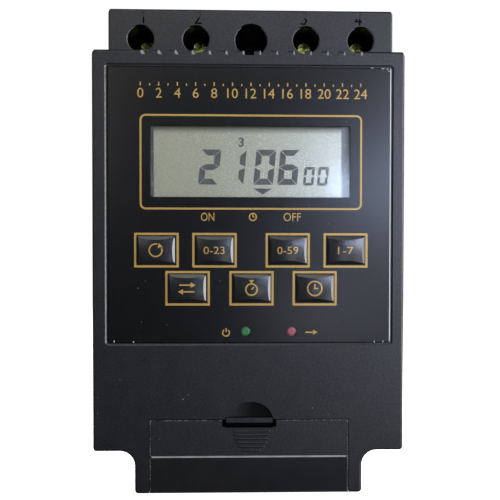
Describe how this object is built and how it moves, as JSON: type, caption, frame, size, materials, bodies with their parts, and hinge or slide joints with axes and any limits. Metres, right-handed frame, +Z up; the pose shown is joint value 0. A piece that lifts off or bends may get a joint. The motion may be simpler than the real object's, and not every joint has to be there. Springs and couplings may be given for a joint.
{
  "type": "electronic timer switch",
  "caption": "Rail-mounted weekly timer switch with a display, domed keys, indicator lamps, rising-clamp terminals and a sliding battery cover.",
  "frame": {"origin": "middle of the rail channel, on the back face of the housing", "axes": "+X to the right as the face is read, +Y back towards the rail, +Z up towards the terminals"},
  "size_m": [0.074, 0.0586, 0.12],
  "materials": {
    "housing": "fine matte texture",
    "cover": "fine matte texture",
    "label": "glossy film",
    "film": "satin printed film",
    "window": "clear",
    "lcd_glass": "satin",
    "key": "glossy",
    "grey_plastic": "matte",
    "frame_plastic": "matte",
    "steel": "zinc plated",
    "brass": "satin",
    "copper": "enamelled wire",
    "board": "lacquered board",
    "green_lamp": "diffused lens",
    "red_lamp": "diffused lens",
    "elastomer": "matte",
    "ribbon": "satin",
    "cell": "gloss",
    "component": "satin"
  },
  "bodies": {
    "housing": {"front_housing": "housing", "rear_housing": "housing", "face_overlay": "film", "display_window": "window", "lcd_panel": "lcd_glass", "lcd_holder": "frame_plastic", "relay_base": "frame_plastic", "relay_case": "frame_plastic", "relay_bobbin": "frame_plastic", "link_headers": "frame_plastic", "film_capacitor": "frame_plastic", "driver_transistor": "frame_plastic", "fuse": "frame_plastic", "controller_chip": "frame_plastic", "tact_switches": "frame_plastic", "rectifier_diodes": "frame_plastic", "housing_screws": "steel", "board_screws": "steel", "quartz_crystal": "steel", "relay_yoke": "steel", "relay_core": "steel", "battery_contact_plus": "steel", "battery_contact_minus": "steel", "contact_bars": "brass", "relay_contacts": "brass", "relay_winding": "copper", "control_board": "board", "power_board": "board", "power_led": "green_lamp", "output_led": "red_lamp", "zebra_strips": "elastomer", "link_ribbon": "ribbon", "battery_cell": "cell", "electrolytic_capacitors": "component", "resistors": "component", "varistor": "component"},
    "battery_door": {"battery_cover": "cover", "battery_label": "label"},
    "rail_latch": {"din_clip": "grey_plastic", "clip_spring": "steel"},
    "relay_rocker": {"relay_armature": "steel", "relay_moving_contact": "brass"},
    "reset_key": {"reset_key": "key"},
    "hour_key": {"hour_key": "key"},
    "minute_key": {"minute_key": "key"},
    "week_key": {"week_key": "key"},
    "mode_key": {"mode_key": "key"},
    "timer_key": {"timer_key": "key"},
    "clock_key": {"clock_key": "key"},
    "terminal_screw_1": {"terminal_screw_1": "brass"},
    "clamp_cage_1": {"clamp_cage_1": "steel"},
    "terminal_screw_2": {"terminal_screw_2": "brass"},
    "clamp_cage_2": {"clamp_cage_2": "steel"},
    "terminal_screw_3": {"terminal_screw_3": "brass"},
    "clamp_cage_3": {"clamp_cage_3": "steel"},
    "terminal_screw_4": {"terminal_screw_4": "brass"},
    "clamp_cage_4": {"clamp_cage_4": "steel"}
  },
  "joints": [
    {"name": "battery_cover_slide", "type": "slide", "parent": "housing", "child": "battery_door", "axis": [0, 0, -1], "range_m": [0, 0.02]},
    {"name": "rail_latch_slide", "type": "slide", "parent": "housing", "child": "rail_latch", "axis": [0, 0, -1], "range_m": [0, 0.0045], "stiffness_N_per_m": 400, "springref_m": -0.01, "deforming": ["clip_spring"]},
    {"name": "relay_rocker_tilt", "type": "hinge", "parent": "housing", "child": "relay_rocker", "pos_m": [-0.0053, -0.02778, 0.0115], "axis": [0, 0, -1], "range_deg": [0, 3.5], "stiffness_Nm_per_rad": 0.05, "springref_deg": -3.44},
    {"name": "reset_key_press", "type": "slide", "parent": "housing", "child": "reset_key", "axis": [0, 1, 0], "range_m": [0, 0.0004], "stiffness_N_per_m": 1500, "springref_m": -0.0002},
    {"name": "hour_key_press", "type": "slide", "parent": "housing", "child": "hour_key", "axis": [0, 1, 0], "range_m": [0, 0.0004], "stiffness_N_per_m": 1500, "springref_m": -0.0002},
    {"name": "minute_key_press", "type": "slide", "parent": "housing", "child": "minute_key", "axis": [0, 1, 0], "range_m": [0, 0.0004], "stiffness_N_per_m": 1500, "springref_m": -0.0002},
    {"name": "week_key_press", "type": "slide", "parent": "housing", "child": "week_key", "axis": [0, 1, 0], "range_m": [0, 0.0004], "stiffness_N_per_m": 1500, "springref_m": -0.0002},
    {"name": "mode_key_press", "type": "slide", "parent": "housing", "child": "mode_key", "axis": [0, 1, 0], "range_m": [0, 0.0004], "stiffness_N_per_m": 1500, "springref_m": -0.0002},
    {"name": "timer_key_press", "type": "slide", "parent": "housing", "child": "timer_key", "axis": [0, 1, 0], "range_m": [0, 0.0004], "stiffness_N_per_m": 1500, "springref_m": -0.0002},
    {"name": "clock_key_press", "type": "slide", "parent": "housing", "child": "clock_key", "axis": [0, 1, 0], "range_m": [0, 0.0004], "stiffness_N_per_m": 1500, "springref_m": -0.0002},
    {"name": "terminal_screw_1_turn", "type": "hinge", "parent": "housing", "child": "terminal_screw_1", "pos_m": [-0.0286, -0.018, 0.05225], "axis": [0, 1, 0], "range_deg": [0, 2060]},
    {"name": "clamp_cage_1_rise", "type": "slide", "parent": "housing", "child": "clamp_cage_1", "axis": [0, -1, 0], "range_m": [0, 0.004]},
    {"name": "terminal_screw_2_turn", "type": "hinge", "parent": "housing", "child": "terminal_screw_2", "pos_m": [-0.0143, -0.018, 0.05225], "axis": [0, 1, 0], "range_deg": [0, 2060]},
    {"name": "clamp_cage_2_rise", "type": "slide", "parent": "housing", "child": "clamp_cage_2", "axis": [0, -1, 0], "range_m": [0, 0.004]},
    {"name": "terminal_screw_3_turn", "type": "hinge", "parent": "housing", "child": "terminal_screw_3", "pos_m": [0.0143, -0.018, 0.05225], "axis": [0, 1, 0], "range_deg": [0, 2060]},
    {"name": "clamp_cage_3_rise", "type": "slide", "parent": "housing", "child": "clamp_cage_3", "axis": [0, -1, 0], "range_m": [0, 0.004]},
    {"name": "terminal_screw_4_turn", "type": "hinge", "parent": "housing", "child": "terminal_screw_4", "pos_m": [0.0286, -0.018, 0.05225], "axis": [0, 1, 0], "range_deg": [0, 2060]},
    {"name": "clamp_cage_4_rise", "type": "slide", "parent": "housing", "child": "clamp_cage_4", "axis": [0, -1, 0], "range_m": [0, 0.004]}
  ],
  "couplings": [
    {"joint": "terminal_screw_1_turn", "follows": "clamp_cage_1_rise", "rad_per_m": 8976},
    {"joint": "terminal_screw_2_turn", "follows": "clamp_cage_2_rise", "rad_per_m": 8976},
    {"joint": "terminal_screw_3_turn", "follows": "clamp_cage_3_rise", "rad_per_m": 8976},
    {"joint": "terminal_screw_4_turn", "follows": "clamp_cage_4_rise", "rad_per_m": 8976}
  ]
}
